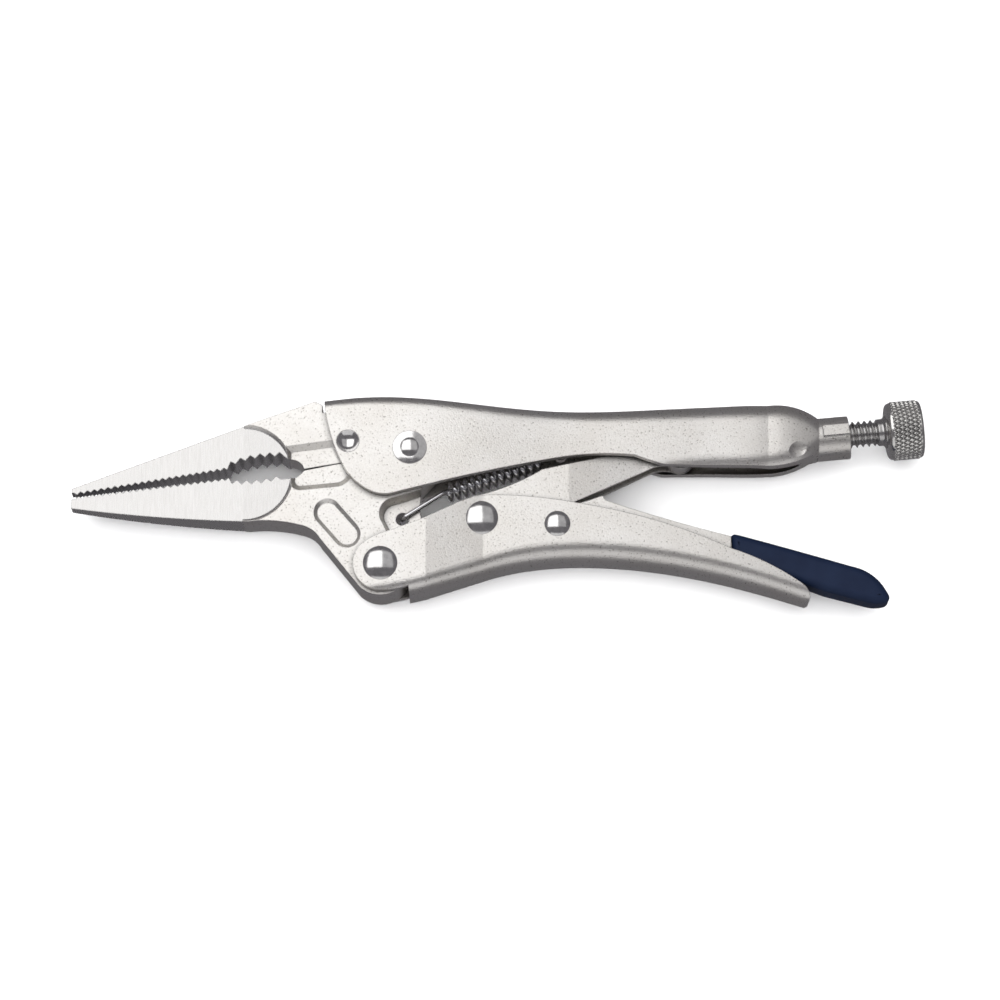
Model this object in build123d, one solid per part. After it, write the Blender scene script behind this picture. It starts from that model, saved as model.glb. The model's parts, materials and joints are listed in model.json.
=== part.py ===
"""Long-nose locking pliers, 150 mm, lying on one side, jaws closed and locked.

The model is drawn about the tool's mid-plane (Z = 0) with +X towards the adjusting knob and +Y towards
the fixed handle, and every part is moved to the row's frame as it is written.
"""
import math
import os

from build123d import *

# Row frame: what is added to the drawing's coordinates.
SHIFT = Vector(0.064, 0.449, 6.5)

# Sheet metal and widths, all measured across the tool (Z).
SHEET = 1.5                  # wall of both handles
JAW_HALF = 4.0               # half thickness of the forged jaws
SIDE_GAP = 0.1               # running gap between a jaw and a cheek
FRONT_HALF = JAW_HALF + SIDE_GAP + SHEET
REAR_HALF = 4.75             # half width of both handles behind the jaws
FAR = 30.0                   # longer than anything that is cut

# Pivots.
JAW_PIVOT = (-15.9, 8.2)
JAW_HANDLE_PIVOT = (-20.9, -12.6)
LINK_PIVOT = (-3.4, -4.3)
LEVER_PIVOT = (9.95, -5.35)
FIXED_RIVET = (-26.7, 9.35)
RIVET_R = 2.0
LEVER_RIVET_R = 1.5
RUNNING = 0.05               # radial clearance of every turning joint
HEAD_R = 3.0
HEAD_HIGH = 0.9
LEVER_HEAD_R = 2.25
LEVER_HEAD_HIGH = 0.75
RIM_HIGH = 0.12
RING_HIGH = 0.45
BUTTON_R = 1.7
CUP_BALL_R = 2.6
CUP_DEEP = 0.9

# Jaws.
NOSE_X = -75.3
KNUCKLE_R = 6.3
KNUCKLE_GAP = 0.3
FINE_PITCH = 1.2
FINE_DEPTH = 0.45
FINE_END = -47.5
COARSE_PITCH = 1.71
COARSE_DEPTH = 0.75
COARSE_END = -38.6
FIRST_TOOTH = 0.4            # from the nose to the fixed jaw's first tooth
TOOTH_SHIFT = 0.3            # how much further back the moving jaw's first tooth lies
UPPER_NOSE = 0.925           # height of the fixed jaw's roots at the nose, and their rise per mm
UPPER_RISE = 0.153
UPPER_THROAT = 7.8           # height of its last roots, and how far the coarse roots climb to there
UPPER_CLIMB = 1.75
LOWER_NOSE = -0.25           # the same of the moving jaw
LOWER_RISE = 0.11
LOWER_COARSE = 2.2           # height where its coarse roots start, their sag, and their climb
LOWER_SAG = 0.3
LOWER_CLIMB = 0.75
SHOULDER_CENTRE = (-45.0, 3.9)
SHOULDER_R = 8.2
SHOULDER_SLOPE = 1.6         # growth of the shoulder's radius per mm of height
FLANK_HALF = 3.6             # half thickness of the ground nose at its shoulder
TIP_HALF = 1.65
RECESS_HALF = 3.0
RECESS_SLOPE = 45.0
POCKET_HALF = 1.25
POCKET_SLOPE = 15.0
SPRING_HOLE = (-17.15, -3.75)
SPRING_HOLE_R = 1.17
BADGE_CENTRE = (-28.5, -5.1)
BADGE_LONG = 8.8
BADGE_WIDE = 3.6
BADGE_ANGLE = -49.0
BADGE_DEEP = 0.5
BADGE_SLOPE = 52.0

# Adjusting screw: a line through the collar, tilted a little to the handle.
AXIS_POINT = (61.8, 11.9)
AXIS_TILT = 5.3
SCREW_R = 2.4
COLLAR_R = 3.8
COLLAR_DROP = 0.4            # how far the swaged collar's centre lies below the screw
COLLAR_START = 55.6
COLLAR_END = 61.45
FLAT_ANGLE = 10.0            # turn of the collar's flats from straight up, towards its top
FLAT_DEEP = 0.16
GROOVE_ANGLE = -6.0
GROOVE_WIDE = 0.35
GROOVE_DEEP = 0.3
DENT = (52.9, 7.4)           # the punch mark that locks the screw's nut
DENT_BALL_R = 4.0
DENT_FLOOR = 3.95            # half thickness left under the punch mark
SCREW_TIP = 36.2
KNOB_START = 67.9
KNOB_LONG = 6.9
KNOB_R = 5.2
KNOB_EDGE = 0.9

# Folded inner parts.
INNER_HALF = 3.0
INNER_SHEET = 1.2
TAIL_HALF = 2.1              # half width of the link's tail, inside the handle's curled edges
LEVER_TAIL_HALF = 2.2
GRIP_HALF = 2.95
GRIP_X = 40.3

# Return spring.
WIRE_R = 0.42
COIL_R = 1.8
COIL_START = (-9.3, 1.3)
COIL_END = (7.6, 7.0)
SPRING_LUG = (10.6, 8.3)


def face_from(start, *steps):
    """A face from a start point and steps: a point is a line, a pair of points is an arc."""
    edges, here = [], start
    for step in steps:
        if isinstance(step[0], tuple):
            edges.append(ThreePointArc(here, step[0], step[1]))
            here = step[1]
        else:
            edges.append(Line(here, step))
            here = step
    if math.dist(here, start) > 1e-6:
        edges.append(Line(here, start))
    return make_face(Wire(edges))


def plate(face, half):
    """A flat face made a plate that reaches half either side of the mid-plane."""
    return Pos(0, 0, -half) * extrude(face, 2 * half, dir=(0, 0, 1))


def both_sides(solid):
    """The solid and its mirror image across the mid-plane."""
    return [solid, mirror(solid, about=Plane.XY)]


def disc(centre, radius, half):
    return Pos(centre[0], centre[1], 0) * Cylinder(radius, 2 * half)


def sunk(face, floor, slope):
    """Cutters that sink a face to the half thickness floor on both sides, with walls sloped by degrees."""
    cutter = extrude(Pos(0, 0, floor) * face, JAW_HALF - floor + 0.4, dir=(0, 0, 1), taper=-slope)
    return both_sides(cutter)


def upper_root(x):
    """Height of the fixed jaw's tooth roots."""
    if x <= FINE_END:
        return UPPER_NOSE + UPPER_RISE * (x - NOSE_X)
    ahead = max(0.0, COARSE_END - x) / (COARSE_END - FINE_END)
    return UPPER_THROAT - UPPER_CLIMB * ahead ** 2.2


def lower_root(x):
    """Height of the moving jaw's tooth roots."""
    if x <= FINE_END:
        return LOWER_NOSE + LOWER_RISE * (x - NOSE_X)
    behind = (x - FINE_END) / (COARSE_END - FINE_END)
    return LOWER_COARSE - LOWER_SAG * math.sin(math.pi * behind) + LOWER_CLIMB * behind ** 2


def teeth(root, side, start):
    """Zigzag points from start to the throat; side is +1 for tips above the roots, -1 for below."""
    points, x = [], start
    while x < COARSE_END:
        fine = x < FINE_END
        pitch = FINE_PITCH if fine else COARSE_PITCH
        depth = FINE_DEPTH if fine else COARSE_DEPTH
        points.append((x, root(x)))
        points.append((x + pitch / 2, root(x + pitch / 2) + side * depth))
        x += pitch
    return points


def flank_cutters():
    """The ground nose flanks: thin at the tip, swelling to a round shoulder."""
    plan = face_from(
        (NOSE_X - 1, TIP_HALF - 0.2),
        (SHOULDER_CENTRE[0], FLANK_HALF),
        (SHOULDER_CENTRE[0], 8.0),
        (NOSE_X - 1, 8.0),
    )
    slab = Pos(0, FAR, 0) * extrude(Rot(90, 0, 0) * plan, 2 * FAR, dir=(0, -1, 0))
    cup = Pos(*SHOULDER_CENTRE, FLANK_HALF + 0.5) * Cone(SHOULDER_R, SHOULDER_R + SHOULDER_SLOPE, 1.0)
    return both_sides(slab) + both_sides(cup)


def arc_about(centre, radius, first, last):
    """Middle and end points of an arc about a centre, from angles in degrees."""
    def at(angle):
        a = math.radians(angle)
        return (centre[0] + radius * math.cos(a), centre[1] + radius * math.sin(a))
    return at(first), at((first + last) / 2), at(last)


def fixed_jaw():
    socket_low, socket_mid, socket_high = arc_about(JAW_PIVOT, KNUCKLE_R + KNUCKLE_GAP, 190.0, 126.0)
    outline = face_from(
        (NOSE_X, 0.9),
        (NOSE_X, 1.7),
        (-32.6, 16.95),
        (-31.3, 16.3),
        (-31.3, 14.9),
        (-22.0, 15.5),
        socket_high,
        (socket_mid, socket_low),
        (-34.4, 4.95),
        ((-35.2, 6.1), (-37.2, 6.6)),
        *reversed(teeth(upper_root, -1, NOSE_X + FIRST_TOOTH)),
    )
    body = plate(outline, JAW_HALF)
    recess = face_from((-36.7, 7.9), (-28.0, 9.1), (-28.0, 3.0), (-36.7, 3.0))
    for cutter in flank_cutters() + sunk(recess, RECESS_HALF, RECESS_SLOPE):
        body -= cutter
    return body - disc(FIXED_RIVET, RIVET_R, FAR)


def moving_jaw():
    knuckle = arc_about(JAW_PIVOT, KNUCKLE_R, 190.0, -35.0)
    boss = arc_about(JAW_HANDLE_PIVOT, 5.3, 10.0, -132.0)
    outline = face_from(
        (NOSE_X, -0.22),
        *teeth(lower_root, 1, NOSE_X + FIRST_TOOTH + TOOTH_SHIFT),
        (-38.4, 2.9),
        (-36.1, 3.2),
        ((-35.1, 3.9), (-34.4, 4.65)),
        knuckle[0],
        (knuckle[1], knuckle[2]),
        (-13.7, 1.4),
        ((-14.1, -1.4), (-13.7, -4.5)),
        boss[0],
        (boss[1], boss[2]),
        (-31.4, -7.9),
        ((-33.0, -6.2), (-35.0, -5.4)),
        ((-38.0, -4.8), (-44.0, -4.75)),
        ((-60.0, -3.7), (NOSE_X, -1.85)),
    )
    body = plate(outline, JAW_HALF)
    recess = face_from(
        (-36.0, 2.9), ((-35.7, 2.1), (-34.8, 1.85)), (-28.4, 2.5), ((-27.1, 3.4), (-27.3, 7.5)), (-36.0, 7.5)
    )
    pocket = face_from(
        (-12.0, -8.0),
        (-18.4, -8.0),
        (-20.0, -4.6),
        ((-20.3, -2.6), (-19.0, -1.3)),
        (-16.6, -0.6),
        (-12.0, 1.0),
    )
    badge = Pos(*BADGE_CENTRE) * Rot(0, 0, BADGE_ANGLE) * SlotOverall(BADGE_LONG, BADGE_WIDE)
    cutters = flank_cutters()
    cutters += sunk(recess, RECESS_HALF, RECESS_SLOPE)
    cutters += sunk(pocket, POCKET_HALF, POCKET_SLOPE)
    cutters += sunk(badge, JAW_HALF - BADGE_DEEP, BADGE_SLOPE)
    for cutter in cutters:
        body -= cutter
    body -= disc(SPRING_HOLE, SPRING_HOLE_R, FAR)
    body -= disc(JAW_PIVOT, RIVET_R + RUNNING, FAR)
    return body - disc(JAW_HANDLE_PIVOT, RIVET_R + RUNNING, FAR)


def section(x, top, bottom, half, radius):
    """A rounded box section across the handle at x."""
    shape = RectangleRounded(2 * half, top - bottom, radius)
    return Plane(origin=(x, (top + bottom) / 2, 0), x_dir=(0, 0, 1), z_dir=(1, 0, 0)) * shape


def channel(groups, trim, wall):
    """A folded channel: lofts through groups of stations (x, top, bottom, half width, corner radius),
    trimmed, then hollowed."""
    body, hollows = None, []
    for group in groups:
        outer = loft([section(*station) for station in group])
        body = outer if body is None else body + outer
        hollows.append(loft([
            section(x, top - wall, bottom + wall, half - wall, radius - wall)
            for x, top, bottom, half, radius in group
        ]))
    body = trim(body)
    for hollow in hollows:
        body -= hollow
    return body


def on_axis(x):
    """The point of the screw's axis at x."""
    rise = math.tan(math.radians(AXIS_TILT)) * (x - AXIS_POINT[0])
    return (x, AXIS_POINT[1] + rise)


def along_axis(x, solid):
    """A solid drawn upwards from its base, laid along the screw's axis from x."""
    return Pos(*on_axis(x), 0) * Rot(0, 0, AXIS_TILT) * Rot(0, 90, 0) * solid


def rod(radius, length):
    return Cylinder(radius, length, align=(Align.CENTER, Align.CENTER, Align.MIN))


def collar():
    """The sheet swaged round the screw's nut, with a flat and a groove pressed along each side."""
    long = COLLAR_END - COLLAR_START
    body = rod(COLLAR_R, long)
    flat = Pos(-COLLAR_R - 5 + FLAT_DEEP, 0, long / 2 + 1.2) * Box(10, 2 * COLLAR_R, long)
    groove = Pos(-COLLAR_R, 0, long / 2 + 1.2) * Box(2 * GROOVE_DEEP, GROOVE_WIDE, long)
    for turn in (FLAT_ANGLE, 180 - FLAT_ANGLE):
        body -= Rot(0, 0, -turn) * flat
    for turn in (GROOVE_ANGLE, 180 - GROOVE_ANGLE):
        body -= Rot(0, 0, -turn) * groove
    return Pos(0, -COLLAR_DROP, 0) * along_axis(COLLAR_START, body)


def upper_handle():
    front = [
        (-34.0, 16.7, -12.0, FRONT_HALF, 2.3),
        (-25.0, 17.75, -11.0, FRONT_HALF, 2.4),
        (-16.0, 17.8, -10.0, FRONT_HALF, 2.5),
        (-7.0, 17.0, -8.0, FRONT_HALF - 0.15, 2.6),
        (2.0, 16.1, -5.0, 5.1, 2.9),
        (11.0, 15.6, -1.5, REAR_HALF + 0.05, 3.2),
        (20.0, 15.75, 1.0, REAR_HALF, 3.6),
        (29.0, 16.25, 2.4, REAR_HALF, 4.0),
        (38.0, 16.75, 3.0, REAR_HALF, 4.3),
        (47.0, 17.0, 3.4, REAR_HALF, 4.4),
    ]
    collar_y = on_axis(56.0)[1] - COLLAR_DROP
    end = [
        (47.0, 17.0, 3.4, REAR_HALF, 4.4),
        (51.5, 16.8, 4.4, REAR_HALF - 0.05, 4.3),
        (56.0, collar_y + COLLAR_R, collar_y - COLLAR_R, COLLAR_R, COLLAR_R - 0.05),
    ]
    # Everything in front of the cheeks' round front edge and below their lower edge goes.
    below = face_from(
        (-40.0, 25.0),
        (-30.9, 25.0),
        (-30.9, 16.4),
        ((-30.0, 11.5), (-27.8, 5.6)),
        ((-25.6, 2.4), (-22.2, 0.2)),
        ((-20.4, -0.15), (-18.0, 0.25)),
        (-9.5, 2.4),
        ((0.5, 4.7), (9.0, 6.4)),
        ((17.0, 7.3), (23.5, 7.1)),
        ((26.0, 6.2), (28.6, 5.4)),
        (46.0, 5.25),
        ((50.5, 5.7), (54.6, 7.4)),
        (57.6, 7.4),
        (57.6, -20.0),
        (-40.0, -20.0),
    )
    body = channel([front, end], lambda whole: whole - plate(below, FAR), SHEET)
    body += collar()
    body -= along_axis(45.0, rod(SCREW_R + RUNNING, 20.0))
    lug = face_from(
        (9.4, 14.6), (9.4, 8.3), ((SPRING_LUG[0], 7.1), (11.8, 8.3)), (11.8, 14.6)
    )
    body += plate(lug, 0.75)
    body -= disc(SPRING_LUG, 0.6, 2.0)
    for dent in both_sides(Pos(*DENT, DENT_FLOOR + DENT_BALL_R) * Sphere(DENT_BALL_R)):
        body -= dent
    body -= disc(FIXED_RIVET, RIVET_R, FAR)
    return body - disc(JAW_PIVOT, RIVET_R, FAR)


def lower_handle():
    ears = [
        (-31.0, 12.0, -19.6, FRONT_HALF, 2.6),
        (-22.0, 12.0, -18.9, FRONT_HALF, 2.6),
        (-13.0, 12.0, -17.2, FRONT_HALF, 2.7),
    ]
    crease = [ears[-1], (-3.0, 12.0, -14.25, REAR_HALF, 3.1)]
    back = [
        crease[-1],
        (4.0, 11.0, -12.6, REAR_HALF, 3.4),
        (17.0, 8.0, -11.9, REAR_HALF, 3.6),
        (30.0, 5.0, -13.2, REAR_HALF, 3.6),
        (43.0, 0.0, -16.05, REAR_HALF - 0.1, 3.5),
        (56.0, -6.0, -20.0, REAR_HALF - 0.6, 3.2),
    ]
    ear = arc_about(JAW_HANDLE_PIVOT, 4.75, 130.0, 262.0)
    side = face_from(
        ear[0],
        (ear[1], ear[2]),
        ((-18.6, -17.15), (-16.0, -16.5)),
        (-15.6, -20.0),
        (47.0, -22.0),
        ((51.4, -20.1), (53.9, -18.3)),
        ((53.6, -17.2), (52.4, -15.9)),
        ((46.0, -12.1), (40.2, -9.75)),
        ((27.0, -4.7), (14.0, -1.7)),
        ((4.0, -0.35), (-1.5, -0.15)),
        ((-5.2, -0.75), (-8.6, -2.2)),
        (-13.8, -4.7),
        (-19.3, -6.75),
        ((-22.0, -7.75), ear[0]),
    )
    body = channel([ears, crease, back], lambda whole: whole & plate(side, FAR), SHEET)
    body -= disc(JAW_HANDLE_PIVOT, 6.3, FRONT_HALF - SHEET)
    body -= disc(JAW_HANDLE_PIVOT, RIVET_R, FAR)
    body -= disc(LINK_PIVOT, RIVET_R, FAR)
    return body - disc(LEVER_PIVOT, LEVER_RIVET_R, FAR)


def toggle_link():
    nose = arc_about(LINK_PIVOT, 4.5, 290.0, 95.0)
    side = face_from(
        nose[0],
        (nose[1], nose[2]),
        ((1.0, 1.7), (7.4, 4.9)),
        (20.0, 7.7),
        (31.8, 10.6),
        ((34.0, 9.6), (34.2, 7.6)),
        ((33.3, 5.9), (31.2, 5.3)),
        ((29.0, 5.75), (26.8, 5.4)),
        (24.5, 4.3),
        (19.5, 2.0),
        (12.8, -1.1),
        (8.5, -2.0),
        ((4.6, -4.6), (1.0, -7.2)),
        nose[0],
    )
    body = plate(side, INNER_HALF)
    cheeks_apart = INNER_HALF - INNER_SHEET
    hollow = face_from(
        (-12.0, -12.0),
        (-12.0, 0.1),
        (-4.0, -1.6),
        (0.9, 0.35),
        (7.8, 3.6),
        (20.3, 6.45),
        (32.0, 9.2),
        (40.0, 9.2),
        (40.0, -12.0),
    )
    tail = disc((31.6, 7.9), 2.5, INNER_HALF)
    body = body - plate(hollow, cheeks_apart) + tail
    waist = face_from((12.0, INNER_HALF), (25.0, TAIL_HALF), (40.0, TAIL_HALF), (40.0, 5.0), (12.0, 5.0))
    for cutter in both_sides(Pos(0, FAR, 0) * extrude(Rot(90, 0, 0) * waist, 2 * FAR, dir=(0, -1, 0))):
        body -= cutter
    return body - disc(LINK_PIVOT, RIVET_R + RUNNING, FAR)


def release_lever():
    hub = arc_about(LEVER_PIVOT, 3.0, 270.0, 100.0)
    side = face_from(
        hub[0],
        (hub[1], hub[2]),
        (15.4, -0.8),
        (17.9, 0.1),
        (18.4, -0.7),
        ((28.0, -3.8), (GRIP_X, -7.2)),
        (GRIP_X, -12.0),
        ((26.0, -8.7), (16.0, -8.3)),
    )
    hollow = face_from(
        (0.0, -20.0),
        (0.0, -1.5),
        (12.0, -3.4),
        (17.7, -1.4),
        (28.2, -5.0),
        (GRIP_X + 1, -8.7),
        (GRIP_X + 1, -20.0),
    )
    body = plate(side, INNER_HALF) - plate(hollow, INNER_HALF - INNER_SHEET)
    body += plate(tail_outline(), LEVER_TAIL_HALF)
    return body - disc(LEVER_PIVOT, LEVER_RIVET_R + RUNNING, FAR)


def tail_outline():
    """The end of the release lever that the grip is dipped over."""
    return face_from(
        (GRIP_X - 3.0, -7.4), (GRIP_X, -8.1), (62.0, -14.0), ((65.6, -15.4), (65.2, -17.2)), (56.0, -15.6),
        (GRIP_X, -11.2), (GRIP_X - 3.0, -10.4)
    )


def lever_grip():
    side = face_from(
        (GRIP_X + 0.02, -11.9),
        (GRIP_X + 0.02, -7.6),
        ((GRIP_X + 0.2, -6.8), (41.1, -6.55)),
        ((51.3, -9.4), (61.4, -12.35)),
        ((65.4, -14.3), (67.5, -17.1)),
        ((67.75, -18.3), (66.7, -18.95)),
        ((65.4, -19.1), (64.0, -18.9)),
        (56.4, -16.9),
        ((48.0, -13.9), (GRIP_X + 0.02, -11.9)),
    )
    return plate(side, GRIP_HALF) - plate(tail_outline(), LEVER_TAIL_HALF)


def dome(radius, base, high):
    """A spherical cap that stands on the height base."""
    ball = (radius ** 2 + high ** 2) / (2 * high)
    cap = Pos(0, 0, base + high - ball) * Sphere(ball)
    return cap & (Pos(0, 0, base) * rod(radius + 1, 2 * high))


def domed_rivet(centre, half, shaft_r, head_r, high):
    """A rivet with a shallow domed head on both cheeks."""
    heads = both_sides(dome(head_r, half, high))
    return Pos(*centre, 0) * (Cylinder(shaft_r, 2 * half) + heads)


def jaw_pivot_rivet():
    """The jaw's rivet: a sloped ring with a round button in its middle."""
    slope = Cone(HEAD_R, BUTTON_R, RING_HIGH - RIM_HIGH, align=(Align.CENTER, Align.CENTER, Align.MIN))
    ring = Pos(0, 0, FRONT_HALF) * (rod(HEAD_R, RIM_HIGH) + Pos(0, 0, RIM_HIGH) * slope)
    head = ring + dome(BUTTON_R, FRONT_HALF + RING_HIGH - 0.02, HEAD_HIGH - RING_HIGH)
    return Pos(*JAW_PIVOT, 0) * (Cylinder(RIVET_R, 2 * FRONT_HALF) + both_sides(head))


def fixed_jaw_rivet():
    """A flush rivet with a round cup punched into each end."""
    body = disc(FIXED_RIVET, RIVET_R, FRONT_HALF)
    for side in (1, -1):
        body -= Pos(*FIXED_RIVET, side * (FRONT_HALF + CUP_BALL_R - CUP_DEEP)) * Sphere(CUP_BALL_R)
    return body


def wire(first, second, z=0.0):
    """A straight piece of spring wire between two points of one height."""
    start = Vector(*first, z)
    run = Vector(*second, z) - start
    return Plane(origin=start, z_dir=run) * rod(WIRE_R, run.length)


def return_spring():
    """The coil as a tube of its size, and a wire end at each hook."""
    start = Vector(*COIL_START, 0)
    run = Vector(*COIL_END, 0) - start
    at = Plane(origin=start, z_dir=run)
    coil = at * (rod(COIL_R, run.length) - rod(COIL_R - 2 * WIRE_R, run.length))
    height = POCKET_HALF + 2 * WIRE_R
    front = wire(SPRING_HOLE, COIL_START, height) + Pos(*SPRING_HOLE, 0) * Cylinder(WIRE_R, 2 * height)
    ends = at * Cylinder(COIL_R - 0.1, 0.8)
    rear = wire(COIL_END, SPRING_LUG, 1.25) + Pos(*SPRING_LUG, 0) * Cylinder(WIRE_R, 2.6)
    cap = Plane(origin=start + run, z_dir=run) * Cylinder(COIL_R - 0.1, 0.8)
    return coil + front + ends + rear + cap


def adjusting_screw():
    body = along_axis(SCREW_TIP, rod(SCREW_R, KNOB_START - SCREW_TIP))
    tip_edges = body.edges().filter_by(GeomType.CIRCLE).sort_by(Axis.X)[:1]
    return fillet(tip_edges, 1.2)


def adjusting_knob():
    drum = rod(KNOB_R, KNOB_LONG)
    drum = fillet(drum.edges().filter_by(GeomType.CIRCLE), KNOB_EDGE)
    return along_axis(KNOB_START, drum)


PARTS = {
    "upper_handle": upper_handle,
    "fixed_jaw": fixed_jaw,
    "fixed_jaw_rivet": fixed_jaw_rivet,
    "moving_jaw": moving_jaw,
    "jaw_pivot_rivet": jaw_pivot_rivet,
    "lower_handle": lower_handle,
    "jaw_handle_rivet": lambda: domed_rivet(JAW_HANDLE_PIVOT, FRONT_HALF, RIVET_R, HEAD_R, HEAD_HIGH),
    "toggle_link": toggle_link,
    "link_rivet": lambda: domed_rivet(LINK_PIVOT, REAR_HALF, RIVET_R, HEAD_R, HEAD_HIGH),
    "release_lever": release_lever,
    "lever_rivet": lambda: domed_rivet(LEVER_PIVOT, REAR_HALF, LEVER_RIVET_R, LEVER_HEAD_R, LEVER_HEAD_HIGH),
    "lever_grip": lever_grip,
    "return_spring": return_spring,
    "adjusting_screw": adjusting_screw,
    "adjusting_knob": adjusting_knob,
}

if __name__ == "__main__":
    os.makedirs("parts", exist_ok=True)
    for name, make in PARTS.items():
        export_step(Pos(SHIFT) * make(), f"parts/{name}.step")
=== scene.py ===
"""Looks for the long-nose locking pliers. Everything is in metres, in the row's frame."""
import json
import math

import bmesh
import bpy
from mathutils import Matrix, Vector


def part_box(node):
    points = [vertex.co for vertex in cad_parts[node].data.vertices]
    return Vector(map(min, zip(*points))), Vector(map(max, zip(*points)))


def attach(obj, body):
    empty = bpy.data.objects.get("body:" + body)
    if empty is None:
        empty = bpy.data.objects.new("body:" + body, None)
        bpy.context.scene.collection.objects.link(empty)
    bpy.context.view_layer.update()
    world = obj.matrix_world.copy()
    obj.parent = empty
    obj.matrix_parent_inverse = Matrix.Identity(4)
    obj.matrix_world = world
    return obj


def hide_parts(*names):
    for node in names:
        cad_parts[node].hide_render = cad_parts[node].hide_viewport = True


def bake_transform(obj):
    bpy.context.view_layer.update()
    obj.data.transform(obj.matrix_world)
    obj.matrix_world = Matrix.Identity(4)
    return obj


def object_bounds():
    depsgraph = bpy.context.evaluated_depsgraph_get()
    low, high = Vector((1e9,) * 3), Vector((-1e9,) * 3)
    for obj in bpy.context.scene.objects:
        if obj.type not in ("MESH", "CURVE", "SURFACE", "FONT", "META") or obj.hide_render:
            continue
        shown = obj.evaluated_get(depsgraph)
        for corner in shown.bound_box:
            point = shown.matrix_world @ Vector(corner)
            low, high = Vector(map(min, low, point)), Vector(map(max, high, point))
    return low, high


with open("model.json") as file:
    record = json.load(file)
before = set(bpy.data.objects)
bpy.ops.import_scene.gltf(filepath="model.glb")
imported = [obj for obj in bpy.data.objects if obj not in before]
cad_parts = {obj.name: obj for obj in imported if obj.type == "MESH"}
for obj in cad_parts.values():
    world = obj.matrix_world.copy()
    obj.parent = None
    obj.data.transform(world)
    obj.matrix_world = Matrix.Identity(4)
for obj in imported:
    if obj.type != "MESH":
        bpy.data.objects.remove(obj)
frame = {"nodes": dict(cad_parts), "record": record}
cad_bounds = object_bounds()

MM = 0.001
LOW, HIGH = (Vector(corner) for corner in cad_bounds)
MIDDLE = (LOW + HIGH) / 2
JOINTS = {joint["name"]: joint for joint in frame["record"]["behaviour"]["joints"]}
SCREW_AXIS = Vector(JOINTS["screw_travel"]["axis"]).normalized()
KNOB_FACE = Vector(JOINTS["knob_turn"]["pos_m"])

# The ground nose ends in a round shoulder, placed from the fixed jaw's corner.
SHOULDER = Vector(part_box("fixed_jaw")[0]) + Vector((30.3, 3.27, 0.0)) * MM
SHOULDER_R = 8.2 * MM

# The adjusting screw and its knob.
PITCH = 1.058 * MM
THREAD_R = 2.38 * MM
THREAD_DEPTH = 0.55 * MM
NECK_R = 2.9 * MM
KNOB_R = 5.2 * MM
KNOB_SET_BACK = 0.3 * MM
KNOB_LONG = 6.15 * MM
KNOB_FRONT = 0.75 * MM
KNOB_EDGE = 0.5 * MM
KNOB_DISH = 0.12 * MM
KNURL_DEPTH = 0.36 * MM
KNURLS_ROUND = 40
KNURL_LEAD = 1.55 * MM

# Where the rod reaches its full radius, its thread starts, and its neck swells before the knob.
ROD_FULL = 1.2 * MM
THREAD_START = 1.0 * MM
ROD_PLAIN = 1.1 * MM
NECK_SWELL = 0.5 * MM

# The return spring.
WIRE_R = 0.42 * MM
COIL_R = 1.42 * MM
TURNS = 13
HOOK_TO_COIL = Vector((7.85, 5.05, 0.0)) * MM
COIL_RUN = Vector((16.9, 5.7, 0.0)) * MM
COIL_TO_LUG = Vector((3.0, 1.3, 0.0)) * MM

CHEEK = 5.6 * MM                       # from the tool's middle to a cheek's outside
GRIP_ROUND = (1.4 * MM, 1.3 * MM)      # how far the grip's rounded rim reaches inwards, and down


# ---------------------------------------------------------------- materials

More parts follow.
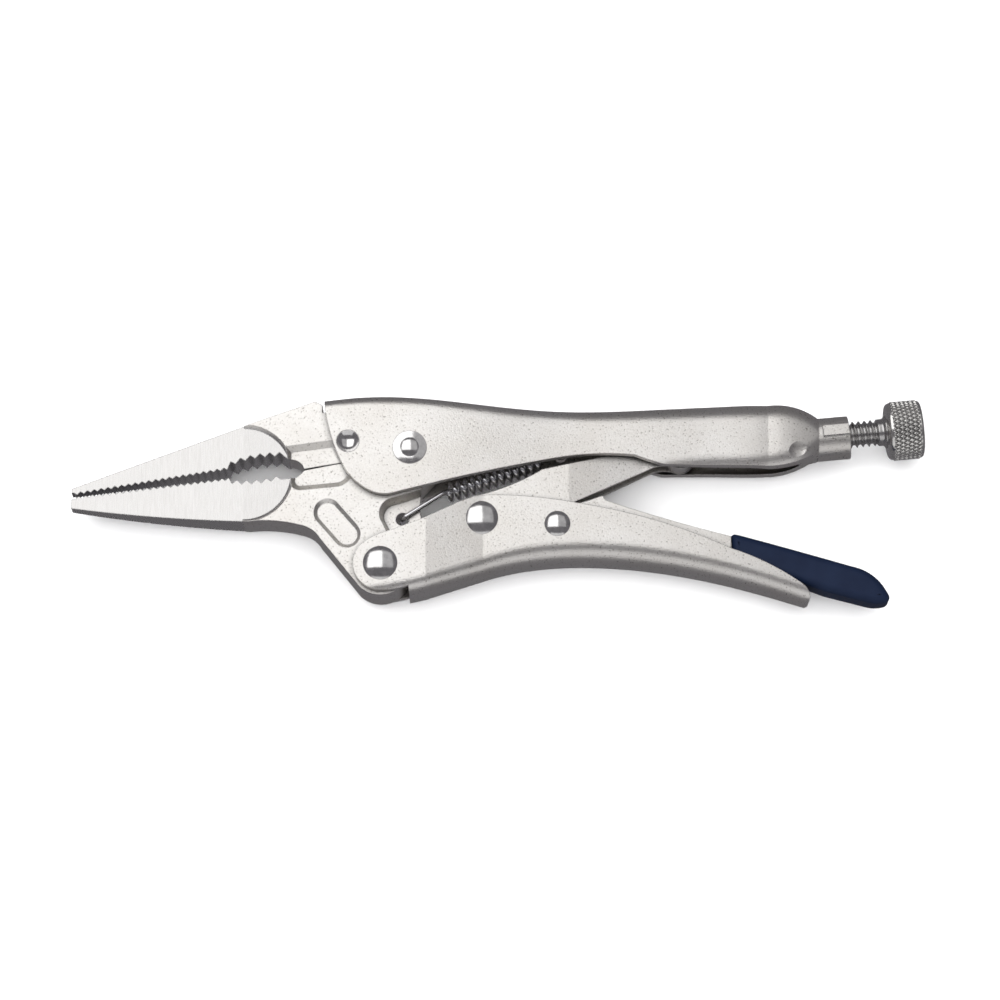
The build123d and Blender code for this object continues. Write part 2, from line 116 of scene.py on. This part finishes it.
class Shading:
    """A material being built: its node tree, its Principled shader and short ways to add nodes."""

    def __init__(self, name):
        self.material = bpy.data.materials.new(name)
        self.material.use_nodes = True
        self.tree = self.material.node_tree
        self.shader = self.tree.nodes["Principled BSDF"]
        self.place = self.add("ShaderNodeTexCoord").outputs["Object"]

    def add(self, kind, **settings):
        node = self.tree.nodes.new(kind)
        for key, value in settings.items():
            setattr(node, key, value)
        return node

    def link(self, source, target):
        self.tree.links.new(source, target)

    def feed(self, socket, value):
        """Gives a socket a number, a colour or another node's output."""
        if isinstance(value, bpy.types.NodeSocket):
            self.link(value, socket)
        else:
            socket.default_value = value

    def noise(self, scale, detail=2.0, rough=0.5, stretch=(1.0, 1.0, 1.0)):
        """Noise in 0..1 fixed to the object, scale in features per metre."""
        mapping = self.add("ShaderNodeMapping")
        mapping.inputs["Scale"].default_value = stretch
        self.link(self.place, mapping.inputs["Vector"])
        texture = self.add("ShaderNodeTexNoise")
        texture.inputs["Scale"].default_value = scale
        texture.inputs["Detail"].default_value = detail
        texture.inputs["Roughness"].default_value = rough
        self.link(mapping.outputs["Vector"], texture.inputs["Vector"])
        return texture.outputs["Fac"]

    def spread(self, value, low, high, start=0.0, stop=1.0):
        """The value from start to stop mapped to low to high."""
        node = self.add("ShaderNodeMapRange")
        self.link(value, node.inputs["Value"])
        for name, number in (("From Min", start), ("From Max", stop), ("To Min", low), ("To Max", high)):
            node.inputs[name].default_value = number
        return node.outputs["Result"]

    def tones(self, value, *points):
        """A colour ramp over (position, colour) points."""
        node = self.add("ShaderNodeValToRGB")
        elements = node.color_ramp.elements
        while len(elements) < len(points):
            elements.new(0.5)
        for element, (position, colour) in zip(elements, points):
            element.position = position
            element.color = (*colour, 1.0)
        self.link(value, node.inputs["Fac"])
        return node.outputs["Color"]

    def mix(self, factor, first, second, blend="MIX"):
        """Two colours mixed; 6 and 7 are the mix node's colour sockets."""
        node = self.add("ShaderNodeMix", data_type="RGBA", blend_type=blend)
        self.feed(node.inputs[0], factor)
        self.feed(node.inputs[6], first)
        self.feed(node.inputs[7], second)
        return node.outputs[2]

    def math(self, operation, first, second=0.0):
        node = self.add("ShaderNodeMath", operation=operation)
        self.feed(node.inputs[0], first)
        self.feed(node.inputs[1], second)
        return node.outputs[0]

    def between(self, factor, first, second):
        """first where the factor is 0, second where it is 1."""
        node = self.add("ShaderNodeMix", data_type="FLOAT")
        self.feed(node.inputs[0], factor)
        self.feed(node.inputs[2], first)
        self.feed(node.inputs[3], second)
        return node.outputs[0]

    def corners(self, reach):
        """The rounded normal, and how worn each spot is: 0 on flats, up to 1 on sharp edges."""
        soft = self.add("ShaderNodeBevel", samples=4)
        soft.inputs["Radius"].default_value = reach
        flat = self.add("ShaderNodeNewGeometry").outputs["Normal"]
        node = self.add("ShaderNodeVectorMath", operation="DOT_PRODUCT")
        self.link(soft.outputs["Normal"], node.inputs[0])
        self.link(flat, node.inputs[1])
        return soft.outputs["Normal"], self.spread(node.outputs["Value"], 1.0, 0.0, 0.75, 0.99)

    def recesses(self, reach):
        """How open each spot is to the sky over a short reach, 1 in the open."""
        node = self.add("ShaderNodeAmbientOcclusion", samples=8)
        node.inputs["Distance"].default_value = reach
        return node.outputs["AO"]

    def bump(self, height, strength, depth, normal=None):
        node = self.add("ShaderNodeBump")
        node.inputs["Strength"].default_value = strength
        node.inputs["Distance"].default_value = depth
        self.link(height, node.inputs["Height"])
        if normal:
            self.link(normal, node.inputs["Normal"])
        return node.outputs["Normal"]

    def finish(self, colour, roughness, normal, metallic=1.0):
        """Feeds the Principled shader and gives back the material."""
        self.shader.inputs["Metallic"].default_value = metallic
        self.feed(self.shader.inputs["Base Color"], colour)
        self.feed(self.shader.inputs["Roughness"], roughness)
        self.feed(self.shader.inputs["Normal"], normal)
        return self.material


def satin_nickel(name, ground=False):
    """Nickel plate over blasted steel: a fine pebbled grain, brighter where edges are rubbed, with
    painted shade darkening its recesses and where parts meet.
    With ground, the nose in front of the round shoulder is smooth, with faint grinding lines."""
    s = Shading(name)
    grain = s.noise(5200, 3.0, 0.6)
    pits = s.noise(3000, 2.0, 0.5)
    cloud = s.noise(90, 3.0)
    base = s.tones(pits, (0.27, (0.42, 0.40, 0.37)), (0.38, (0.84, 0.82, 0.785)),
                   (0.8, (0.92, 0.905, 0.875)))
    shade = s.tones(cloud, (0.35, (0.93, 0.92, 0.905)), (0.65, (1.0, 1.0, 1.0)))
    base = s.mix(1.0, base, shade, "MULTIPLY")
    roughness = s.spread(grain, 0.26, 0.38)
    rounded, worn = s.corners(0.22 * MM)
    height = s.math("ADD", grain, pits)
    if ground:
        nose = ground_nose(s)
        lines = s.noise(700, 3.0, 0.5, (7.0, 0.5, 1.0))
        steel = s.tones(lines, (0.3, (0.60, 0.59, 0.575)), (0.7, (0.69, 0.68, 0.665)))
        base = s.mix(nose, base, steel)
        roughness = s.between(nose, roughness, s.spread(lines, 0.22, 0.32))
        height = s.between(nose, height, s.math("MULTIPLY", lines, 0.10))
    base = s.mix(s.math("MULTIPLY", worn, 0.6), base, (0.93, 0.92, 0.90, 1.0))
    roughness = s.between(worn, roughness, 0.22)
    # Painted shade: ambient occlusion darkens the colour to dark grey in recesses, creases and where
    # parts meet.
    painted_shade = s.spread(s.recesses(1.6 * MM), 0.0, 1.0, 0.25, 0.85)
    base = s.mix(painted_shade, (0.13, 0.125, 0.13, 1.0), base)
    return s.finish(base, roughness, s.bump(height, 0.5, 0.06 * MM, rounded))


def ground_nose(s):
    """1 on the ground nose, 0 behind its round shoulder, from the place on the jaw."""
    parts = s.add("ShaderNodeSeparateXYZ")
    s.link(s.place, parts.inputs[0])
    ahead = s.math("MAXIMUM", s.math("SUBTRACT", parts.outputs["X"], SHOULDER.x), 0.0)
    aside = s.math("SUBTRACT", parts.outputs["Y"], SHOULDER.y)
    apart = s.math("ADD", s.math("MULTIPLY", ahead, ahead), s.math("MULTIPLY", aside, aside))
    inside = s.math("LESS_THAN", apart, (SHOULDER_R + 0.25 * MM) ** 2)
    return s.math("MAXIMUM", inside, s.math("LESS_THAN", parts.outputs["X"], SHOULDER.x))


def bright_metal(name, colour, low, high, scale, unshaded_from=0.7):
    """Polished, cut or drawn metal with smears in its gloss, and painted shade darkening its recesses.
    low and high bound its roughness; the last argument is how far open a spot must be to be free of the
    painted shade."""
    s = Shading(name)
    smear = s.noise(scale, 4.0)
    rounded, worn = s.corners(0.12 * MM)
    dark = tuple(0.8 * c for c in colour)
    base = s.tones(smear, (0.3, dark), (0.65, colour))
    base = s.mix(s.math("MULTIPLY", worn, 0.5), base, (0.92, 0.91, 0.90, 1.0))
    # Painted shade: ambient occlusion darkens the colour to near black in recesses and where parts meet.
    painted_shade = s.spread(s.recesses(0.8 * MM), 0.0, 1.0, 0.1, unshaded_from)
    base = s.mix(painted_shade, (0.08, 0.08, 0.09, 1.0), base)
    return s.finish(base, s.spread(smear, low, high), s.bump(smear, 0.05, 0.05 * MM, rounded))


def dipped_vinyl():
    """Dark blue dipped vinyl: satin, faintly pebbled, scuffed a little lighter on its edges."""
    s = Shading("blue_vinyl")
    skin = s.noise(2600, 2.0)
    cloud = s.noise(160, 3.0)
    rubbed = s.spread(s.add("ShaderNodeNewGeometry").outputs["Pointiness"], 0.0, 0.5, 0.52, 0.60)
    base = s.tones(cloud, (0.3, (0.0042, 0.0085, 0.024)), (0.7, (0.0066, 0.0130, 0.034)))
    base = s.mix(rubbed, base, (0.018, 0.028, 0.055, 1.0))
    s.shader.inputs["Specular IOR Level"].default_value = 0.14
    normal = s.bump(skin, 0.10, 0.08 * MM)
    return s.finish(base, s.spread(skin, 0.46, 0.58), normal, metallic=0.0)


# ---------------------------------------------------------------- meshes

def piece_from(bm, name, material, sharp=35.0):
    """A bmesh made an object, smooth except across edges sharper than the angle in degrees."""
    bmesh.ops.recalc_face_normals(bm, faces=bm.faces)
    mesh = bpy.data.meshes.new(name)
    bm.to_mesh(mesh)
    bm.free()
    mesh.materials.append(material)
    mesh.polygons.foreach_set("use_smooth", [True] * len(mesh.polygons))
    mesh.set_sharp_from_angle(angle=math.radians(sharp))
    piece = bpy.data.objects.new(name, mesh)
    bpy.context.scene.collection.objects.link(piece)
    return piece


def skin_rings(bm, rings, closed_ends=True):
    """Quads between successive rings of points, with a cap on each end."""
    loops = [[bm.verts.new(point) for point in ring] for ring in rings]
    for first, second in zip(loops, loops[1:]):
        for i in range(len(first)):
            j = (i + 1) % len(first)
            bm.faces.new((first[i], first[j], second[j], second[i]))
    if closed_ends:
        bm.faces.new(loops[0][::-1])
        bm.faces.new(loops[-1])
    return loops


def turned(base, axis, profile, around, radius_at=None):
    """Rings about an axis from (distance along, radius) points.
    radius_at may change a radius by its place and angle."""
    side = axis.orthogonal().normalized()
    up = axis.cross(side)
    rings = []
    for along, radius in profile:
        ring = []
        for i in range(around):
            angle = 2 * math.pi * i / around
            r = radius_at(along, angle, radius) if radius_at else radius
            ring.append(base + axis * along + (side * math.cos(angle) + up * math.sin(angle)) * r)
        rings.append(ring)
    return rings


def ease(value):
    """A smooth step from 0 to 1."""
    value = min(1.0, max(0.0, value))
    return value * value * (3 - 2 * value)


def triangle_wave(value):
    """0 at whole numbers, 1 half way between them."""
    return 1 - abs(2 * (value % 1.0) - 1)


def screw(material):
    """The threaded rod from its rounded tip to the neck that swells into the knob."""
    tip = min((Vector(c) for c in (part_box("adjusting_screw"))), key=lambda c: c.x)
    long = (KNOB_FACE.x - tip.x) / SCREW_AXIS.x
    step = PITCH / 10

    def radius_at(along, angle, radius):
        turn = along / PITCH - angle / (2 * math.pi)
        cut = THREAD_DEPTH * min(1.0, 1.5 * triangle_wave(turn))
        fade = ease((along - THREAD_START) / MM) * ease((long - ROD_PLAIN - along) / (0.6 * MM))
        return radius - cut * fade

    profile = [(0.0, 1.0 * MM), (0.1 * MM, 1.45 * MM), (0.35 * MM, 1.9 * MM), (0.8 * MM, 2.25 * MM)]
    count = int((long - ROD_FULL - NECK_SWELL) / step)
    profile += [(ROD_FULL + i * step, THREAD_R) for i in range(count)]
    for part in (0.0, 0.35, 0.7, 1.0):
        profile.append((long - (1 - part) * NECK_SWELL, THREAD_R + (NECK_R - THREAD_R) * part ** 2))
    profile.append((long + KNOB_SET_BACK, NECK_R))
    bm = bmesh.new()
    start = KNOB_FACE - SCREW_AXIS * long
    skin_rings(bm, turned(start, SCREW_AXIS, profile, 40, radius_at))
    piece = piece_from(bm, "screw_thread", material, sharp=50)
    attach(piece, "adjusting_screw")
    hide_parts("adjusting_screw")


def cap(radius, high, base, steps=14):
    """A spherical cap's profile from its rim to its middle, as (height, radius) points."""
    ball = (radius ** 2 + high ** 2) / (2 * high)
    points = []
    for i in range(steps + 1):
        out = radius * (1 - i / steps)
        points.append((base + high - ball + math.sqrt(ball ** 2 - out ** 2), max(out, 0.02 * MM)))
    return points


def domed(node):
    """A plain head with a hair-fine rounded rim, sized from the node's box."""
    low, high = (Vector(corner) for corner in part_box(node))
    radius = (high.x - low.x) / 2
    raised = (0.333 if node == "lever_rivet" else 0.3) * radius
    base = (high.z - low.z) / 2 - raised
    edge = 0.04 * MM
    return [(base - 0.05 * MM, radius - edge), (base + 0.02 * MM, radius),
            *cap(radius, raised - edge, base + edge)]


def ringed():
    """The jaw pivot's head: a sloped ring with a round button in its middle."""
    ring = ((-0.05, 2.94), (0.02, 3.0), (0.12, 2.97), (0.30, 2.35), (0.42, 1.78))
    button = cap(1.7 * MM, 0.45 * MM, CHEEK + 0.43 * MM)
    return [(CHEEK + high * MM, out * MM) for high, out in ring] + button


def cupped():
    """The fixed jaw's flush rivet: a narrow lip round a spherical cup."""
    ball, wide, deep, steps = 2.6 * MM, 1.94 * MM, 0.9 * MM, 14
    cup = []
    for i in range(steps + 1):
        out = wide * (1 - i / steps) + 0.02 * MM * i / steps
        cup.append((CHEEK - deep + ball - math.sqrt(ball ** 2 - out ** 2), out))
    return [(CHEEK - 0.04 * MM, 2.0 * MM), (CHEEK, 1.97 * MM), *cup]


def rivet(node, body, head, material):
    """A turned rivet with the same head, given as (height, radius) points, on both cheeks."""
    middle = (Vector(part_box(node)[0]) + Vector(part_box(node)[1])) / 2
    profile = [(-height, radius) for height, radius in head[::-1]] + head
    bm = bmesh.new()
    skin_rings(bm, turned(middle, Vector((0.0, 0.0, 1.0)), profile, 64))
    piece = piece_from(bm, node + "_turned", material, sharp=40)
    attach(piece, body)
    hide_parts(node)


def rim(start, reach, core):
    """A quarter round edge of the knob's drum, from its face to its side.
    reach is negative at the far end."""
    drop = abs(reach)
    angles = [math.radians(a) for a in range(90, -1, -15)]
    return [(start + reach * (1 - math.sin(a)), core - drop * (1 - math.cos(a))) for a in angles]


def knob(material):
    """The knurled drum: smooth rounded rims, a flat-topped diamond knurl and a shallow dished end."""
    around = KNURLS_ROUND * 10
    rows = 70
    core = KNOB_R - 0.5 * KNURL_DEPTH
    last = KNOB_LONG - KNOB_EDGE

    def radius_at(along, angle, radius):
        if not KNOB_FRONT < along < last:
            return radius
        turn = KNURLS_ROUND * angle / (2 * math.pi)
        lead = along / KNURL_LEAD
        flat = min(1.0, 2.2 * min(triangle_wave(turn + lead), triangle_wave(turn - lead)))
        fade = ease((along - KNOB_FRONT) / (0.3 * MM)) * ease((last - along) / (0.3 * MM))
        return radius + KNURL_DEPTH * (flat - 0.5) * fade

    left = rim(0.0, KNOB_FRONT, core)
    right = rim(KNOB_LONG, -KNOB_EDGE, core)[::-1]
    middle = [(KNOB_FRONT + (last - KNOB_FRONT) * i / rows, core) for i in range(1, rows)]
    lip = core - KNOB_EDGE
    bottom = KNOB_LONG - KNOB_DISH
    dish = [(KNOB_LONG, lip - 0.5 * MM), (bottom, lip - 0.8 * MM), (bottom, 0.3 * MM)]
    front = [(-0.2 * MM, 0.3 * MM), (-0.2 * MM, NECK_R)]
    profile = front + left + middle + right + dish
    start = KNOB_FACE + SCREW_AXIS * KNOB_SET_BACK
    bm = bmesh.new()
    skin_rings(bm, turned(start, SCREW_AXIS, profile, around, radius_at))
    piece = piece_from(bm, "knob_knurled", material, sharp=40)
    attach(piece, "adjusting_knob")
    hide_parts("adjusting_knob")


def smooth_route(points, steps=8):
    """A curve through the points (Catmull-Rom), as a list of points."""
    ends = [2 * points[0] - points[1], *points, 2 * points[-1] - points[-2]]
    route = []
    for a, b, c, d in zip(ends, ends[1:], ends[2:], ends[3:]):
        for i in range(steps):
            t = i / steps
            route.append(0.5 * (2 * b + (c - a) * t + (2 * a - 5 * b + 4 * c - d) * t * t
                                + (3 * b - a - 3 * c + d) * t ** 3))
    return route + [points[-1]]


def wire_rings(route, radius, sides=10):
    """Rings of a round wire along a route, turned as little as possible from one to the next."""
    rings = []
    normal = (route[1] - route[0]).orthogonal().normalized()
    for i, point in enumerate(route):
        ahead = (route[min(i + 1, len(route) - 1)] - route[max(i - 1, 0)]).normalized()
        normal = (normal - ahead * normal.dot(ahead)).normalized()
        other = ahead.cross(normal)
        turns = (2 * math.pi * k / sides for k in range(sides))
        rings.append([point + (normal * math.cos(a) + other * math.sin(a)) * radius for a in turns])
    return rings


def spring(material):
    """The open-coiled extension spring.
    One wire hook goes through the jaw's hole and one round the handle's lug."""
    low, high = (Vector(corner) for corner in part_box("return_spring"))
    hook = Vector((low.x + WIRE_R, low.y + WIRE_R, MIDDLE.z))
    start = hook + HOOK_TO_COIL
    end = start + COIL_RUN
    lug = end + COIL_TO_LUG
    along = COIL_RUN.normalized()
    up = Vector((0.0, 0.0, 1.0))
    side = along.cross(up)

    def coil(turn):
        angle = 2 * math.pi * turn
        out = up * math.cos(angle) + side * math.sin(angle)
        return start + COIL_RUN * (turn / TURNS) + out * COIL_R

    pull = (start - hook).normalized()
    front = [hook - up * 2.1 * MM, hook - up * 0.8 * MM, hook + up * 1.0 * MM + pull * 0.05 * MM,
             hook + up * 1.75 * MM + pull * 0.5 * MM, hook + up * 1.95 * MM + pull * 1.5 * MM,
             start + up * 1.95 * MM - pull * 1.6 * MM, start + up * 1.85 * MM - pull * 0.9 * MM]
    turns = [coil(i / 20) for i in range(1, TURNS * 20)]
    rear = [end + up * COIL_R + along * 0.6 * MM, lug + up * 1.35 * MM - along * 0.8 * MM,
            lug + up * 1.05 * MM, lug + up * 0.4 * MM, lug - up * 1.2 * MM]
    bm = bmesh.new()
    route = smooth_route(front)[:-1] + smooth_route([front[-1], coil(0.0), turns[0]], 5)[:-1]
    route += turns + smooth_route([turns[-1], *rear])[1:]
    skin_rings(bm, wire_rings(route, WIRE_R))
    piece = piece_from(bm, "spring_coil", material, sharp=60)
    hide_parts("return_spring")
    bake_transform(piece)


def flat_outline(mesh, height):
    """The outline of a mesh's flat top, as a loop of points in order, snapped to a fine grid."""
    grid = 0.002 * MM
    level = {v.index for v in mesh.vertices if abs(v.co.z - height) < 0.01 * MM}
    spots = {index: tuple(round(c / grid) for c in mesh.vertices[index].co) for index in level}
    rims = {}
    for face in mesh.polygons:
        if all(index in level for index in face.vertices):
            corners = [spots[index] for index in face.vertices]
            for a, b in zip(corners, corners[1:] + corners[:1]):
                if rims.pop((b, a), None) is None:
                    rims[(a, b)] = True
    after = {a: b for a, b in rims}
    loop = [min(after)]
    while after[loop[-1]] != loop[0]:
        loop.append(after[loop[-1]])
    return [Vector(spot) * grid for spot in loop]


def evenly(loop, step):
    """The loop with its points spread evenly, about one step apart."""
    ends = loop[1:] + loop[:1]
    total = sum((b - a).length for a, b in zip(loop, ends))
    count = round(total / step)
    points, walked, done = [], 0.0, 0
    for a, b in zip(loop, ends):
        long = (b - a).length
        while done < count and done * total / count < walked + long:
            points.append(a.lerp(b, (done * total / count - walked) / long))
            done += 1
        walked += long
    return points


def drawn_in(loop, by):
    """The loop moved inwards, its tangents taken over a few points so that tight corners stay clean."""
    many = len(loop)
    moved = []
    for i, point in enumerate(loop):
        ahead = (loop[(i + 3) % many] - loop[i - 3]).normalized()
        moved.append(point + Vector((-ahead.y, ahead.x, 0.0)) * by)
    for _ in range(3):
        moved = [0.5 * p + 0.25 * (moved[i - 1] + moved[(i + 1) % many]) for i, p in enumerate(moved)]
    return moved


def ladder(bm, ring):
    """Fills a long narrow ring of vertices with rungs from one side to the other."""
    many = len(ring)
    for i in range(many // 2 - 1):
        rung = [ring[-i], ring[i], ring[i + 1], ring[-i - 1]]
        bm.faces.new(dict.fromkeys(rung))
    if many % 2:
        bm.faces.new(ring[many // 2 - 1:many // 2 + 2])


def grip(material):
    """The dipped grip: the CAD outline carried through its thickness, with its rims rounded over."""
    bottom, top = (corner[2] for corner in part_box("lever_grip"))
    reach, drop = GRIP_ROUND
    loop = flat_outline(frame["nodes"]["lever_grip"].data, top)
    first = min(range(len(loop)), key=lambda i: loop[i].x * 1000 + loop[i].y)
    loop = evenly(loop[first:] + loop[:first], 0.3 * MM)
    loops, heights, steps = [loop], [drop], 8
    for k in range(1, steps + 1):
        angle = math.radians(90 * k / steps)
        before = math.radians(90 * (k - 1) / steps)
        loops.append(drawn_in(loops[-1], reach * (math.cos(before) - math.cos(angle))))
        heights.append(drop * (1 - math.sin(angle)))
    upper = [[Vector((p.x, p.y, top - h)) for p in ring] for ring, h in zip(loops, heights)]
    lower = [[Vector((p.x, p.y, bottom + h)) for p in ring] for ring, h in zip(loops, heights)]
    bm = bmesh.new()
    rings = skin_rings(bm, upper[::-1] + lower, closed_ends=False)
    ladder(bm, rings[0])
    ladder(bm, rings[-1])
    piece = piece_from(bm, "grip_skin", material, sharp=60)
    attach(piece, "release_lever")
    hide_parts("lever_grip")


# ---------------------------------------------------------------- the tool

NICKEL = satin_nickel("satin_nickel")
JAW_STEEL = satin_nickel("jaw_steel", ground=True)
CHROME = bright_metal("polished_rivet", (0.87, 0.86, 0.85), 0.10, 0.20, 900)
KNURL = bright_metal("knurled_chrome", (0.84, 0.83, 0.80), 0.14, 0.24, 2500)
THREAD = bright_metal("thread_steel", (0.64, 0.63, 0.62), 0.18, 0.30, 2500)
WIRE = bright_metal("spring_steel", (0.86, 0.86, 0.88), 0.10, 0.20, 1500, unshaded_from=0.3)
VINYL = dipped_vinyl()

for node in ("upper_handle", "lower_handle", "toggle_link", "release_lever"):
    frame["nodes"][node].material_slots[0].material = NICKEL
for node in ("fixed_jaw", "moving_jaw"):
    frame["nodes"][node].material_slots[0].material = JAW_STEEL
rivet("fixed_jaw_rivet", "frame", cupped(), CHROME)
rivet("jaw_pivot_rivet", "frame", ringed(), CHROME)
for node in ("jaw_handle_rivet", "link_rivet", "lever_rivet"):
    rivet(node, "lower_handle", domed(node), CHROME)
screw(THREAD)
knob(KNURL)
spring(WIRE)
grip(VINYL)


# ---------------------------------------------------------------- stage

def floor():
    """White paper under the tool, left out of the metal's reflections."""
    bm = bmesh.new()
    bmesh.ops.create_grid(bm, x_segments=1, y_segments=1, size=3.0)
    mesh = bpy.data.meshes.new("floor")
    bm.to_mesh(mesh)
    bm.free()
    piece = bpy.data.objects.new("floor", mesh)
    piece.location.z = LOW.z - 0.1 * MM
    piece.visible_glossy = False
    bpy.context.scene.collection.objects.link(piece)
    s = Shading("floor")
    paper = s.noise(400, 2.0)
    white = s.tones(paper, (0.3, (0.93, 0.93, 0.93)), (0.7, (0.95, 0.95, 0.95)))
    mesh.materials.append(s.finish(white, 0.9, s.bump(paper, 0.05, 0.05 * MM), metallic=0.0))
    s.shader.inputs["Specular IOR Level"].default_value = 0.1


def soft_box(name, place, size, radiance, tip=0.0, glossy=True):
    """An area light that shines down, or forwards when tipped (in degrees).
    radiance is the brightness that metal sees in it."""
    data = bpy.data.lights.new(name, "AREA")
    data.shape = "RECTANGLE"
    data.size, data.size_y = size
    data.energy = radiance * math.pi * size[0] * size[1]
    lamp = bpy.data.objects.new(name, data)
    lamp.location = place
    lamp.rotation_euler.x = math.radians(tip)
    lamp.visible_glossy = glossy
    bpy.context.scene.collection.objects.link(lamp)


def studio():
    """A wide soft box overhead and behind, dimmer over the knob end, a low one in front,
    and a fill that only mat surfaces see, in a dark grey room."""
    floor()
    soft_box("soft_box", (-0.415, 0.54, 0.80), (0.97, 1.28), 1.30)
    soft_box("soft_box_dim", (0.435, 0.54, 0.80), (0.73, 1.28), 0.30)
    soft_box("front_box", (0.0, -1.1, 0.70), (2.0, 1.1), 0.55, tip=90.0)
    soft_box("fill", (0.0, 0.0, 1.2), (2.4, 2.4), 2.3, glossy=False)
    world = bpy.data.worlds.new("room")
    world.use_nodes = True
    world.node_tree.nodes["Background"].inputs["Color"].default_value = (0.15, 0.145, 0.155, 1.0)
    bpy.context.scene.world = world
    bpy.context.scene.view_settings.view_transform = "Standard"


def camera():
    """Nearly overhead, tipped a little towards the lower handle."""
    tilt, distance = math.radians(14.5), 0.686
    eye = bpy.data.objects.new("camera", bpy.data.cameras.new("camera"))
    eye.data.sensor_width = 36.0
    eye.data.lens = 140.4
    eye.data.clip_start = 0.01
    aim = MIDDLE + Vector((0.0, 0.54, 0.0)) * MM
    eye.location = aim + distance * Vector((0.0, -math.sin(tilt), math.cos(tilt)))
    eye.rotation_euler = (tilt, 0.0, 0.0)
    bpy.context.scene.collection.objects.link(eye)
    bpy.context.scene.camera = eye


studio()
camera()
